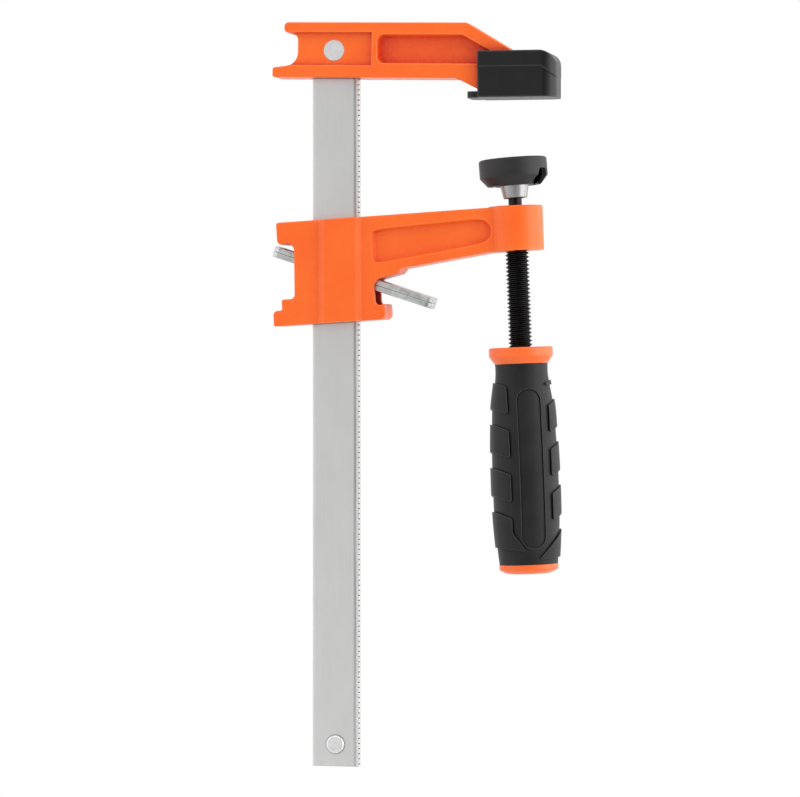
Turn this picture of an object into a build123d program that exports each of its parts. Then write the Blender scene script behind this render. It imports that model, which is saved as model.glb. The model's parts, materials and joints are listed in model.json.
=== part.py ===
from build123d import *
from math import cos, radians, sin, tan
import os

# Light steel bar clamp with a disc clutch, upright as it hangs in a shop: the bar runs
# along Z, both jaws reach out along +X and the flat front side faces -Y. The origin is
# the middle of the fixed jaw's clamping face. All lengths are millimetres.

# General fits
SEAT = 0.05          # gap between pieces that are pressed, riveted or glued together
RUN = 0.08           # radial gap of a turning fit
GUIDE = 0.3          # gap each side between a casting and the bar that it slides on
OVERRUN = 2.0        # how far a cut reaches past the face that it opens

# Bar: cold-rolled flat steel with eased long edges
REACH = 73.3         # bar's centre line to the middle of the jaw faces
BAR_WIDTH = 19.05
BAR_THICK = 4.76
BAR_BELOW = 268.1    # bar's lower end, below the fixed jaw's clamping face
BAR_EASE_WIDTH = 2.0     # the eased strip along each long edge, across the face
BAR_EASE_DEPTH = 0.35    # and into the thickness
BAR_END_CHAMFER = 0.8
BAR_END_DOWN = 1.2       # its upper end sits this far inside the top of the fixed jaw
STOP_FROM_END = 8.9      # stop pin's centre above the lower end
STOP_HEAD_RADIUS = 3.65
STOP_HEAD_RISE = 1.1
STOP_HEAD_ROUND = 0.8
STOP_SHANK_RADIUS = 2.4

# Fixed jaw: an I-section casting that droops a little towards its nose
FIXED_TILT = -1.1        # degrees from square to the bar
FIXED_RISE = 9.0         # its underside at the bar, above the clamping face
FIXED_HEIGHT = 22.1
FIXED_THICK = 15.2
FIXED_EAR_TOP = 20.4     # reach of the upper ear behind the bar's centre line
FIXED_EAR_LOW = 25.0     # reach of the lower ear
FIXED_EAR_ROUND = 1.8
FIXED_BACK = 14.9        # reach of the web between the ears
FIXED_BACK_ROUND = 3.0
FIXED_BACK_SWEEP = 5.6   # larger round where the web runs into the lower ear
FLANGE_TOP = 4.3
FLANGE_LOW = 5.1
FIXED_EAR_TIP = 3.9      # height of the lower ear at its tip
FIXED_WEB_THICK = 12.0   # web round the bar
FIXED_WEB_END = 15.4     # where that thicker web ends, past the bar's centre line
FIXED_POCKET_START = 18.0
FIXED_POCKET_WEB = 6.4   # web left between the two deep pockets
FIXED_POCKET_ROUND = 2.0
FIXED_POCKET_END = 3.16      # the pocket ends where the falling flange leaves this much
FIXED_POCKET_DRAFT = 12.0    # degrees
FIXED_POCKET_LEDGE = 0.5     # the pocket's mouth stands back from the flanges
NOSE_SLOPE_BACK = 19.1   # upper flange starts to fall this far behind the face's middle
NOSE_SLOPE = 30.4        # degrees that it falls
HEEL_BACK = 23.2         # underside starts to drop to the foot
HEEL_SLOPE = 26.0
NOSE_AHEAD = 12.3        # end of the nose, past the face's middle
NOSE_ROUND = 1.6

RIVET_RADIUS = 4.15
RIVET_SAG = 0.15         # rivet's centre below the middle of the casting's height
RIVET_PROUD = 0.12

# Soft cap pushed over the fixed jaw's nose
CAP_LEFT = 13.9          # open edge of the skirts, behind the clamping face's middle
CAP_TAB_LEFT = 18.8      # the sole reaches back past the skirts
CAP_RIGHT = 17.4
CAP_HEIGHT = 17.9
CAP_WALL = 2.3
CAP_SOLE = 2.6
CAP_CORNER = 5.5         # rounded end corners in plan
CAP_TOP_ROUND = 6.5      # rounded shoulder above the end
CAP_TAB_THICK = 15.0     # the tab is narrower than the skirts
HOOD_PROUD = 0.6         # the hood stands out from the skirt
HOOD_EDGE = 12.1         # height of its lower edge
HOOD_DROP = 4.2          # how far that edge falls at the end

# Sliding jaw: casting with a clutch slot through it and a screw boss at its tip
SLIDE_DOWN = 47.8        # its top edge at the bar, below the clamping face
SLIDE_TILT = 3.6         # degrees that its edges climb towards the tip
FOOT_HEIGHT = 5.2        # of the foot under the release notch
SLIDE_THICK = 15.8
EAR_TOP_REACH = 23.5     # upper ear behind the bar's centre line
EAR_CLEAR = 0.6          # upper ear stands this far clear of the discs
EAR_STEP_OUT = 5.4       # the lower ear's step stands out from the notch's wall
EAR_LOW_OUT = 3.8        # and its foot from the step
EAR_LOW_HEIGHT = 6.2
EAR_STEP_HEIGHT = 10.6
NOTCH_WALL = 16.6        # the casting's edge between the two ears, at the top
NOTCH_WALL_LOW = 17.7    # and at the bottom
NOTCH_ROUND = 2.6
EAR_ROUND = 1.8
FRONT_WALL = 15.1        # the casting's edge in the release notch, towards the screw
NOTCH_TOP = 27.6         # release notch, below the casting's top edge
NOTCH_HEIGHT = 8.8
FRONT_ROUND = 1.9
HOOK_OUT = 4.0           # the hook under the notch stands out from that wall
HOOK_HEIGHT = 6.4
HOOK_ROUND = 2.2
ARM_LOW_OUT = 1.8        # the arm's underside leaves the notch this far past the wall
ARM_LOW_RISE = 2.2       # arm's underside there, above the notch's top
ARM_STEP_OUT = 8.3       # small step in the arm's underside, further out
ARM_STEP_UP = 1.8        # and at the step, above that
ARM_STEP_RISE = 1.9
ARM_STEP_RUN = 1.6
ARM_TIP_BACK = 11.3      # underside meets the boss, behind the screw's axis
BOSS_RADIUS = 10.9
BOSS_HEIGHT = 17.8
CASTING_EASE = 0.6
ARM_POCKET_START = 15.3
ARM_POCKET_TOP = 5.3
ARM_POCKET_RIM = 6.1     # wall under the pocket
ARM_POCKET_BACK = 8.6    # pocket's end, behind the screw's axis
ARM_POCKET_END_RADIUS = 5.2
ARM_POCKET_END_DEEP = 9.2
ARM_POCKET_CORNER = 2.0
ARM_POCKET_DEEP = 1.7
ARM_POCKET_DRAFT = 35    # degrees
BAND_BACK = 3.5          # raised band over the bar, behind the bar's centre line
BAND_FRONT = 9.7         # and in front of it
BAND_RISE = 1.5
BAND_SLOPE_RUN = 2.1
SLOT_GUIDE = 0.25        # side play of the discs in the clutch slot

# Clutch discs: two slotted plates that bite on the bar when they cock over
DISC_TILT = -18.1        # degrees, falling towards the screw
PIVOT_PAST_WALL = 1.5    # discs rock on the slot's roof, past the notch's wall
DISC_THICK = 2.2
DISC_WIDTH = 10.5
DISC_BACK = 26.6         # along the plate, from the bar's centre line
DISC_FRONT = 42.4
DISC_CORNER = 2.6
DISC_HOLE = 21.2         # slot along the plate
DISC_EASE = 0.35
PIVOT_BELOW = 0.1        # and below the arm's underside
ROOF_GAP = 0.15

# Screw: axis leans back a little so that the faces close square under load
SCREW_TILT = 2.2         # degrees
SCREW_DATUM = 60.8       # boss's lower face, below the clamping face
SCREW_FORWARD = 0.4      # the axis crosses that level this far in front of the middle
SCREW_RADIUS = 4.75
NECK_RADIUS = 2.7
NECK_INTO_BOSS = 3.0     # the thread ends this far below the top of the boss
TANG_LENGTH = 42.0       # screw inside the handle
TANG_RADIUS = 4.2
THREAD_END_CHAMFER = 0.9

# Swivel pad on a ball at the screw's upper end
BALL_RADIUS = 4.0
BALL_UP = 25.5           # ball's centre above the datum, along the screw
SOCKET_LIP_RADIUS = 4.75
SOCKET_LIP_DOWN = 4.6    # lip's lower face below the ball's centre
SOCKET_RADIUS = 5.75
SOCKET_TOP = 4.9         # above the ball's centre
SOCKET_MOUTH = 3.75
SOCKET_LIP_EASE = 0.4
SOCKET_SHOULDER = 0.4    # the cup is at its widest this far above the ball's centre
PAD_TILT = 4.4           # degrees, as it hangs in the photograph
PAD_HUB_WALL = 2.0       # at the pad's foot, from the cup outward: hub,
PAD_SLOT = 0.8           # gap,
PAD_SKIRT = 2.0          # skirt,
PAD_BEVEL = 3.0          # and the bevel out to the pad's full radius
PAD_HUB_SPREAD = 1.2     # the hub is this much wider at the roof
PAD_HEIGHT = 10.9
PAD_SIDE = 7.4
PAD_TOP_EASE = 1.1
PAD_TOP_UP = 11.3        # pad's face above the ball's centre
PAD_HOLLOW = 6.2
PAD_WINDOWS = 2          # openings in the skirt, opposite each other
PAD_WINDOW_FACING = 70.0 # degrees, the first one measured from the front
PAD_WINDOW_FOOT = 9.4    # width at the skirt's foot
PAD_WINDOW_TOP = 4.8     # and at the top
PAD_WINDOW_HEIGHT = 6.1
PAD_WINDOW_ROUND = 1.0

# Handle: hard core with a collar, soft grip and a domed end plug
HANDLE_DOWN = 38.6       # collar's top face below the datum, along the screw
COLLAR_RADIUS = 12.8
COLLAR_HEIGHT = 6.5
COLLAR_FOOT_RADIUS = 10.7
COLLAR_RIM = 3.6
COLLAR_EASE = 0.7
CORE_RADIUS = 7.6
GRIP_LENGTH = 79.9
GRIP_RADIUS = 13.2
PLUG_RADIUS = 11.8
PLUG_RIM = 2.2
PLUG_DOME = 1.6
PLUG_FLAT = 9.0
PLUG_STEM_RADIUS = 4.0
PLUG_STEM = 6.0
BLOCK_RISE = 0.8         # raised blocks down both sides of the grip
BLOCKS_EACH_SIDE = 3
BLOCK_PITCH = 17.5
BLOCK_LENGTH = 11.0
BLOCK_INNER = 8.4        # the blocks' inner edges, across from the handle's axis
BLOCK_SLOPE = 28.0       # degrees that their ends fall towards the front
BLOCK_CORNER = 0.8
BLOCKS_LEFT_DOWN = 13.0  # first block below the collar's top, on the left
BLOCKS_RIGHT_DOWN = 20.8 # and on the right
CURL_BEND = 8.1          # last left block: its inner edge runs straight this far,
CURL_TIP = 3.5           # then curls under the panel to this near the middle
CURL_TIP_DOWN = 7.4      # and this much lower
CURL_FOOT = 11.9         # its lower end at the side, below its upper one
FIRST_WEDGE_DOWN = 12.9  # small wedge above the first right block
FIRST_WEDGE_TIP = 5.6    # its tip, across from the handle's axis
FIRST_WEDGE_DROP = 2.2   # the tip below its upper end
FIRST_WEDGE_FOOT = 2.9   # its lower end below its upper one
LAST_WEDGE_TIP = 1.7     # long wedge below the last right block, in the same terms
LAST_WEDGE_DROP = 11.0
LAST_WEDGE_FOOT = 9.9
HANDLE_FACING = 22.0     # degrees that the handle's panel is turned from the front
PANEL_LENGTH = 63.4      # bare sunken panel
PANEL_WIDTH = 9.6
PANEL_DOWN = 48.3        # its middle below the collar's top
PANEL_DEEP = 0.5
# Grip outline: share of its length from the collar, share of its greatest radius
GRIP_SHARES = [
    (0.0, 0.80),
    (0.065, 0.80),
    (0.13, 0.855),
    (0.21, 0.925),
    (0.30, 0.955),
    (0.42, 0.985),
    (0.60, 1.0),
    (0.72, 0.995),
    (0.84, 0.965),
    (0.93, 0.925),
    (1.0, 0.885),
]


def side_plane(x, z, tilt):
    """Side view of the clamp at (x, z): local x runs forward, turned up by tilt degrees."""
    turn = radians(tilt)
    return Plane(origin=(x, 0, z), x_dir=(cos(turn), 0, sin(turn)), z_dir=(0, -1, 0))


def level_plane(side, up):
    """Plane square to a side plane's local vertical, this far up it."""
    return Plane(
        origin=side.from_local_coords((0, up, 0)), x_dir=side.x_dir, z_dir=side.y_dir
    )


def face_on(plane, corners):
    """Sketch on a plane of the closed outline through (x, y, corner radius) triples."""
    with BuildSketch(plane) as sketch:
        with BuildLine():
            FilletPolyline(
                *[(x, y) for x, y, corner in corners],
                radius=[corner for x, y, corner in corners],
                close=True,
            )
        make_face()
    return sketch.sketch


def upright(side):
    """Axis along a side plane's local vertical."""
    return Axis(side.origin, side.y_dir)


os.makedirs("parts", exist_ok=True)

bar_half = BAR_WIDTH / 2
bar_half_thick = BAR_THICK / 2
fixed_side = side_plane(-REACH, FIXED_RISE, FIXED_TILT)
slide_side = side_plane(-REACH, -SLIDE_DOWN, SLIDE_TILT)
slide_height = NOTCH_TOP + NOTCH_HEIGHT + FOOT_HEIGHT
ear_step = NOTCH_WALL_LOW + EAR_STEP_OUT
ear_low = ear_step + EAR_LOW_OUT
hook_end = FRONT_WALL + HOOK_OUT
arm_low = NOTCH_TOP - ARM_LOW_RISE
arm_low_start = FRONT_WALL + ARM_LOW_OUT
arm_step = arm_low_start + ARM_STEP_OUT
screw_side = side_plane(SCREW_FORWARD, -SCREW_DATUM, SCREW_TILT)
ball_point = screw_side.from_local_coords((0, BALL_UP, 0))
pad_side = side_plane(ball_point.X, ball_point.Z, PAD_TILT)

# The discs hang under the slot's roof, where its corner bears on them. Their own plane
# starts where the stack's middle crosses the bar's centre line.
stack_half = DISC_THICK + SEAT / 2
under_roof = stack_half + ROOF_GAP
disc_lean = radians(DISC_TILT)
disc_fall = tan(disc_lean)
roof = Vector(FRONT_WALL + PIVOT_PAST_WALL, -arm_low - PIVOT_BELOW, 0)
pivot = slide_side.from_local_coords(roof)
pivot_along = (pivot.X + REACH + under_roof * sin(disc_lean)) / cos(disc_lean)
disc_down = pivot_along * sin(disc_lean) + under_roof * cos(disc_lean) - pivot.Z
disc_side = side_plane(-REACH, -disc_down, DISC_TILT)
disc_rise = (roof.X + EAR_TOP_REACH) * tan(radians(SLIDE_TILT - DISC_TILT))
ear_deep = -roof.Y - disc_rise - EAR_CLEAR

handle_point = screw_side.from_local_coords((0, -HANDLE_DOWN, 0))
handle_side = side_plane(handle_point.X, handle_point.Z, SCREW_TILT)

# Bar: eased flat section, cut to the front view so that its lower corners are broken.
# Its upper end stops just inside the top of the fixed jaw.
bar_top = FIXED_RISE + FIXED_HEIGHT - BAR_END_DOWN
bar_foot = Plane((-REACH, 0, -BAR_BELOW))
stop_side = side_plane(-REACH, STOP_FROM_END - BAR_BELOW, 0)
rivet_point = fixed_side.from_local_coords((0, FIXED_HEIGHT / 2 - RIVET_SAG, 0))
rivet_side = side_plane(rivet_point.X, rivet_point.Z, 0)
edge_half = bar_half_thick - BAR_EASE_DEPTH
with BuildPart() as bar:
    with BuildSketch(bar_foot):
        with BuildLine():
            Polyline(
                (bar_half, 0),
                (bar_half, edge_half),
                (bar_half - BAR_EASE_WIDTH, bar_half_thick),
                (0, bar_half_thick),
            )
            mirror(about=Plane.YZ)
            mirror(about=Plane.XZ)
        make_face()
    extrude(amount=BAR_BELOW + bar_top)
    chamfer(bar.edges().filter_by(Axis.Y).group_by(Axis.Z)[0], length=BAR_END_CHAMFER)
    for side, shank in ((stop_side, STOP_SHANK_RADIUS), (rivet_side, RIVET_RADIUS)):
        with BuildSketch(side):
            Circle(shank + SEAT)
        extrude(amount=BAR_THICK, both=True, mode=Mode.SUBTRACT)
bar.part.label = "bar"
export_step(bar.part, "parts/bar.step")

# Stop pin, headed over on both faces of the bar
head_start = bar_half_thick + SEAT
with BuildPart() as bar_stop_pin:
    with BuildSketch(stop_side):
        Circle(STOP_SHANK_RADIUS)
    extrude(amount=head_start)
    with BuildSketch(stop_side.offset(head_start)):
        Circle(STOP_HEAD_RADIUS)
    extrude(amount=STOP_HEAD_RISE)
    fillet(bar_stop_pin.edges().group_by(Axis.Y)[0], STOP_HEAD_ROUND)
    mirror(about=Plane.XZ)
bar_stop_pin.part.label = "bar_stop_pin"
export_step(bar_stop_pin.part, "parts/bar_stop_pin.step")

# Fixed jaw: the front half is drawn and mirrored. The nose runs down inside the cap to
# a flat foot that stands on the cap's sole.
nose_slope_start = REACH - NOSE_SLOPE_BACK
heel_start = REACH - HEEL_BACK
nose_end = REACH + NOSE_AHEAD
fixed_half = FIXED_THICK / 2
nose_fall = tan(radians(NOSE_SLOPE))
heel_fall = tan(radians(HEEL_SLOPE))
foot_fall = tan(radians(FIXED_TILT))
foot_middle = fixed_side.to_local_coords(Vector(0, 0, CAP_SOLE + SEAT))


def foot_at(along):
    """Height of the level foot in the fixed jaw's own frame."""
    return foot_middle.Y - (along - foot_middle.X) * foot_fall


def nose_at(along):
    """Height of the falling upper flange in the fixed jaw's own frame."""
    return FIXED_HEIGHT - (along - nose_slope_start) * nose_fall


heel_end = heel_start - foot_at(heel_start) / (heel_fall - foot_fall)
flange_top = FIXED_HEIGHT - FLANGE_TOP
fixed_corners = [
    (-FIXED_EAR_LOW, 0, FIXED_EAR_ROUND / 2),
    (heel_start, 0, 0),
    (heel_end, foot_at(heel_end), 0),
    (nose_end, foot_at(nose_end), NOSE_ROUND),
    (nose_end, nose_at(nose_end), NOSE_ROUND),
    (nose_slope_start, FIXED_HEIGHT, NOSE_ROUND),
    (-FIXED_EAR_TOP, FIXED_HEIGHT, FIXED_EAR_ROUND),
    (-FIXED_EAR_TOP, flange_top, FIXED_EAR_ROUND),
    (-FIXED_BACK, flange_top, FIXED_BACK_ROUND),
    (-FIXED_BACK, FLANGE_LOW, FIXED_BACK_SWEEP),
    (-FIXED_EAR_LOW, FIXED_EAR_TIP, FIXED_EAR_ROUND / 2),
]
pocket_draft = (FIXED_THICK - FIXED_POCKET_WEB) / 2 * tan(radians(FIXED_POCKET_DRAFT))
pocket_inset = FIXED_POCKET_LEDGE + pocket_draft
pocket_start = FIXED_POCKET_START + pocket_draft
pocket_low = FLANGE_LOW + pocket_inset
pocket_top = flange_top - pocket_inset
pocket_bend = nose_slope_start - (FLANGE_TOP + pocket_inset) * tan(radians(NOSE_SLOPE / 2))
pocket_far_top = pocket_low + FIXED_POCKET_END
pocket_under = FIXED_HEIGHT - (FLANGE_TOP + pocket_inset) / cos(radians(NOSE_SLOPE))
pocket_far = nose_slope_start + (pocket_under - pocket_far_top) / nose_fall
with BuildPart() as fixed_jaw:
    extrude(face_on(fixed_side, fixed_corners), amount=fixed_half)
    fillet(fixed_jaw.edges().group_by(Axis.Y)[0], CASTING_EASE)
    section = face_on(
        fixed_side.offset(FIXED_WEB_THICK / 2),
        [
            (-FIXED_EAR_LOW - OVERRUN, FLANGE_LOW, 0),
            (FIXED_WEB_END, FLANGE_LOW, 0),
            (FIXED_WEB_END, flange_top, 0),
            (-FIXED_EAR_LOW - OVERRUN, flange_top, 0),
        ],
    )
    extrude(section, amount=FIXED_THICK, taper=-FIXED_POCKET_DRAFT, mode=Mode.SUBTRACT)
    section = face_on(
        fixed_side.offset(FIXED_POCKET_WEB / 2),
        [
            (pocket_start, pocket_low, FIXED_POCKET_ROUND),
            (pocket_far, pocket_low, FIXED_POCKET_ROUND / 2),
            (pocket_far, pocket_far_top, FIXED_POCKET_ROUND / 2),
            (pocket_bend, pocket_top, FIXED_POCKET_ROUND),
            (pocket_start, pocket_top, FIXED_POCKET_ROUND),
        ],
    )
    extrude(section, amount=FIXED_THICK, taper=-FIXED_POCKET_DRAFT, mode=Mode.SUBTRACT)
    mirror(about=Plane.XZ)
    with BuildSketch(Plane((-REACH, 0, 0))):
        Rectangle(BAR_WIDTH + 2 * SEAT, BAR_THICK + 2 * SEAT)
    extrude(amount=bar_top + FIXED_HEIGHT, mode=Mode.SUBTRACT)
    with BuildSketch(rivet_side):
        Circle(RIVET_RADIUS + SEAT)
    extrude(amount=FIXED_THICK, both=True, mode=Mode.SUBTRACT)
fixed_jaw.part.label = "fixed_jaw"
export_step(fixed_jaw.part, "parts/fixed_jaw.step")

with BuildPart() as fixed_jaw_rivet:
    with BuildSketch(rivet_side):
        Circle(RIVET_RADIUS)
    extrude(amount=FIXED_WEB_THICK / 2 + RIVET_PROUD)
    fillet(fixed_jaw_rivet.edges().group_by(Axis.Y)[0], RIVET_PROUD)
    mirror(about=Plane.XZ)
fixed_jaw_rivet.part.label = "fixed_jaw_rivet"
export_step(fixed_jaw_rivet.part, "parts/fixed_jaw_rivet.step")

# Cap over the nose: a side view cut to a plan with rounded end corners. The hood above
# the skirts stands out a little, and its lower edge falls at the end.
cap_side = side_plane(0, 0, 0)
cap_half = fixed_half + SEAT + CAP_WALL
cap_corners = [
    (-CAP_LEFT, 0, 0),
    (CAP_RIGHT, 0, 0),
    (CAP_RIGHT, CAP_HEIGHT, CAP_TOP_ROUND),
    (-CAP_LEFT, CAP_HEIGHT, 0),
]
hood_corners = [
    (-CAP_LEFT, HOOD_EDGE, 0),
    (CAP_RIGHT - CAP_CORNER, HOOD_EDGE, CAP_CORNER / 2),
    (CAP_RIGHT, HOOD_EDGE - HOOD_DROP, 0),
    (CAP_RIGHT, CAP_HEIGHT + HOOD_PROUD, CAP_TOP_ROUND),
    (-CAP_LEFT, CAP_HEIGHT + HOOD_PROUD, 0),
]


def cap_plan(half):
    """Plan of the cap, this far out to each side, with its two end corners rounded."""
    return face_on(
        Plane.XY,
        [
            (-CAP_LEFT, -half, 0),
            (CAP_RIGHT, -half, CAP_CORNER),
            (CAP_RIGHT, half, CAP_CORNER),
            (-CAP_LEFT, half, 0),
        ],
    )


with BuildPart() as cap_hood:
    extrude(face_on(cap_side, hood_corners), amount=FIXED_THICK, both=True)
    section = cap_plan(cap_half + HOOD_PROUD)
    extrude(section, amount=CAP_HEIGHT + OVERRUN, mode=Mode.INTERSECT)
with BuildPart() as fixed_jaw_pad:
    extrude(face_on(cap_side, cap_corners), amount=FIXED_THICK, both=True)
    extrude(cap_plan(cap_half), amount=CAP_HEIGHT, mode=Mode.INTERSECT)
    add(cap_hood.part)
    section = face_on(
        fixed_side,
        [
            (heel_start, -FIXED_HEIGHT, 0),
            (nose_end + SEAT, -FIXED_HEIGHT, 0),
            (nose_end + SEAT, nose_at(nose_end) + SEAT, NOSE_ROUND),
            (nose_slope_start, FIXED_HEIGHT + SEAT, 0),
            (heel_start, FIXED_HEIGHT + SEAT, 0),
        ],
    )
    extrude(section, amount=fixed_half + SEAT, both=True, mode=Mode.SUBTRACT)
    extrude(cap_plan(cap_half), amount=CAP_SOLE)
    section = face_on(
        Plane.XY,
        [
            (-CAP_TAB_LEFT, -CAP_TAB_THICK / 2, CAP_SOLE),
            (0, -CAP_TAB_THICK / 2, 0),
            (0, CAP_TAB_THICK / 2, 0),
            (-CAP_TAB_LEFT, CAP_TAB_THICK / 2, CAP_SOLE),
        ],
    )
    extrude(section, amount=CAP_SOLE)
fixed_jaw_pad.part.label = "fixed_jaw_pad"
export_step(fixed_jaw_pad.part, "parts/fixed_jaw_pad.step")

# Sliding jaw: the front half is drawn and mirrored, then the boss is raised and the bar
# passage, the clutch slot and the screw bore go through.
slide_half = SLIDE_THICK / 2
boss_middle = slide_side.to_local_coords(
    screw_side.from_local_coords((0, BOSS_HEIGHT / 2, 0))
)
slide_corners = [
    (-ear_low, -slide_height, CASTING_EASE),
    (hook_end, -slide_height, HOOK_ROUND),
    (hook_end, HOOK_HEIGHT - slide_height, CASTING_EASE),
    (FRONT_WALL, FOOT_HEIGHT - slide_height, FRONT_ROUND),
    (FRONT_WALL, -NOTCH_TOP, FRONT_ROUND / 2),
    (arm_low_start, -arm_low, 0),
    (arm_step, ARM_STEP_UP - arm_low, CASTING_EASE),
    (arm_step + ARM_STEP_RUN, ARM_STEP_RISE + ARM_STEP_UP - arm_low, CASTING_EASE),
    (boss_middle.X - ARM_TIP_BACK, -BOSS_HEIGHT, BOSS_RADIUS),
    (boss_middle.X, -BOSS_HEIGHT, 0),
    (boss_middle.X, 0, 0),
    (-EAR_TOP_REACH, 0, EAR_ROUND / 2),
    (-EAR_TOP_REACH, -ear_deep, EAR_ROUND),
    (-NOTCH_WALL, -ear_deep, NOTCH_ROUND),
    (-NOTCH_WALL_LOW, EAR_STEP_HEIGHT - slide_height, EAR_ROUND),
    (-ear_step, EAR_STEP_HEIGHT - slide_height, EAR_ROUND / 2),
    (-ear_step, EAR_LOW_HEIGHT - slide_height, EAR_ROUND / 2),
    (-ear_low, EAR_LOW_HEIGHT - slide_height, EAR_ROUND),
]
pocket_tip = boss_middle.X - ARM_POCKET_BACK
with BuildPart() as jaw_band:
    extrude(face_on(slide_side, slide_corners), amount=slide_half + BAND_RISE, both=True)
    with BuildSketch(Plane((-REACH, 0, -SLIDE_DOWN))):
        with BuildLine():
            Polyline(
                (-BAND_BACK - BAND_SLOPE_RUN, 0),
                (-BAND_BACK - BAND_SLOPE_RUN, -slide_half),
                (-BAND_BACK, -slide_half - BAND_RISE),
                (BAND_FRONT, -slide_half - BAND_RISE),
                (BAND_FRONT + BAND_SLOPE_RUN, -slide_half),
                (BAND_FRONT + BAND_SLOPE_RUN, 0),
                close=True,
            )
        make_face()
    extrude(amount=slide_height + BAR_WIDTH, both=True, mode=Mode.INTERSECT)
with BuildPart() as sliding_jaw:
    extrude(face_on(slide_side, slide_corners), amount=slide_half)
    fillet(sliding_jaw.edges().group_by(Axis.Y)[0], CASTING_EASE)
    with BuildSketch(slide_side.offset(slide_half - ARM_POCKET_DEEP)):
        with Locations(
            (ARM_POCKET_START + ARM_POCKET_CORNER, -ARM_POCKET_TOP - ARM_POCKET_CORNER),
            (ARM_POCKET_START + ARM_POCKET_CORNER, ARM_POCKET_CORNER + ARM_POCKET_RIM - arm_low),
        ):
            Circle(ARM_POCKET_CORNER)
        with Locations((pocket_tip - ARM_POCKET_END_RADIUS, -ARM_POCKET_END_DEEP)):
            Circle(ARM_POCKET_END_RADIUS)
        make_hull()
        offset(amount=-ARM_POCKET_DEEP * tan(radians(ARM_POCKET_DRAFT)))
    extrude(amount=2 * ARM_POCKET_DEEP, taper=-ARM_POCKET_DRAFT, mode=Mode.SUBTRACT)
    add(jaw_band.part)
    mirror(about=Plane.XZ)
    with BuildSketch(level_plane(screw_side, 0)):
        Circle(BOSS_RADIUS)
    extrude(amount=BOSS_HEIGHT)
    boss_rims = sliding_jaw.edges().filter_by(GeomType.CIRCLE)
    fillet(boss_rims.sort_by(upright(screw_side))[-1], CASTING_EASE)
    with BuildSketch(Plane((-REACH, 0, -SLIDE_DOWN))):
        Rectangle(BAR_WIDTH + 2 * GUIDE, BAR_THICK + 2 * GUIDE)
    extrude(amount=2 * slide_height, both=True, mode=Mode.SUBTRACT)
    section = face_on(
        slide_side,
        [
            (-NOTCH_WALL - OVERRUN, -ear_deep, 0),
            (-NOTCH_WALL - OVERRUN, EAR_STEP_HEIGHT - slide_height, 0),
            (FRONT_WALL, FOOT_HEIGHT - slide_height, 0),
            (arm_low_start, FOOT_HEIGHT - slide_height, 0),
            (arm_low_start, roof.Y, 0),
            (roof.X, roof.Y, 0),
            (-NOTCH_WALL, -ear_deep, 0),
        ],
    )
    extrude(section, amount=DISC_WIDTH / 2 + SLOT_GUIDE, both=True, mode=Mode.SUBTRACT)
    with BuildSketch(level_plane(screw_side, 0)):
        Circle(SCREW_RADIUS + RUN)
    extrude(amount=2 * BOSS_HEIGHT, both=True, mode=Mode.SUBTRACT)
sliding_jaw.part.label = "sliding_jaw"
export_step(sliding_jaw.part, "parts/sliding_jaw.step")

# Clutch discs, each slotted where its own middle crosses the bar
for name, low in (("upper", SEAT / 2), ("lower", -stack_half)):
    middle = low + DISC_THICK / 2
    with BuildPart() as disc:
        section = face_on(
            level_plane(disc_side, low),
            [
                (-DISC_BACK, -DISC_WIDTH / 2, DISC_CORNER),
                (DISC_FRONT, -DISC_WIDTH / 2, DISC_CORNER),
                (DISC_FRONT, DISC_WIDTH / 2, DISC_CORNER),
                (-DISC_BACK, DISC_WIDTH / 2, DISC_CORNER),
            ],
        )
        extrude(section, amount=DISC_THICK)
        fillet(disc.faces().sort_by(upright(disc_side))[0].edges(), DISC_EASE)
        fillet(disc.faces().sort_by(upright(disc_side))[-1].edges(), DISC_EASE)
        with BuildSketch(level_plane(disc_side, low)):
            with Locations((middle * disc_fall, 0)):
                Rectangle(DISC_HOLE, BAR_THICK + 2 * GUIDE)
        extrude(amount=DISC_THICK, mode=Mode.SUBTRACT)
    disc.part.label = "clutch_disc_" + name
    export_step(disc.part, "parts/clutch_disc_" + name + ".step")

# Screw: thread size up to the boss, a thin neck above it, and a tang inside the handle
with BuildPart() as spindle:
    section = face_on(
        screw_side,
        [
            (0, -HANDLE_DOWN - TANG_LENGTH, 0),
            (TANG_RADIUS, -HANDLE_DOWN - TANG_LENGTH, 0),
            (TANG_RADIUS, -HANDLE_DOWN - COLLAR_RIM, 0),
            (SCREW_RADIUS, -HANDLE_DOWN - COLLAR_RIM, 0),
            (SCREW_RADIUS, BOSS_HEIGHT - NECK_INTO_BOSS - THREAD_END_CHAMFER, 0),
            (SCREW_RADIUS - THREAD_END_CHAMFER, BOSS_HEIGHT - NECK_INTO_BOSS, 0),
            (NECK_RADIUS, BOSS_HEIGHT - NECK_INTO_BOSS, 0),
            (NECK_RADIUS, BALL_UP, 0),
            (0, BALL_UP, 0),
        ],
    )
    revolve(section, axis=upright(screw_side))
spindle.part.label = "spindle"
export_step(spindle.part, "parts/spindle.step")

# Ball on the neck's end, bored for the neck
with BuildPart() as swivel_ball:
    with Locations(ball_point):
        Sphere(BALL_RADIUS)
    with BuildSketch(level_plane(screw_side, BALL_UP + RUN)):
        Circle(NECK_RADIUS + RUN)
    extrude(amount=-2 * BALL_RADIUS, mode=Mode.SUBTRACT)
swivel_ball.part.label = "swivel_ball"
export_step(swivel_ball.part, "parts/swivel_ball.step")

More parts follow.
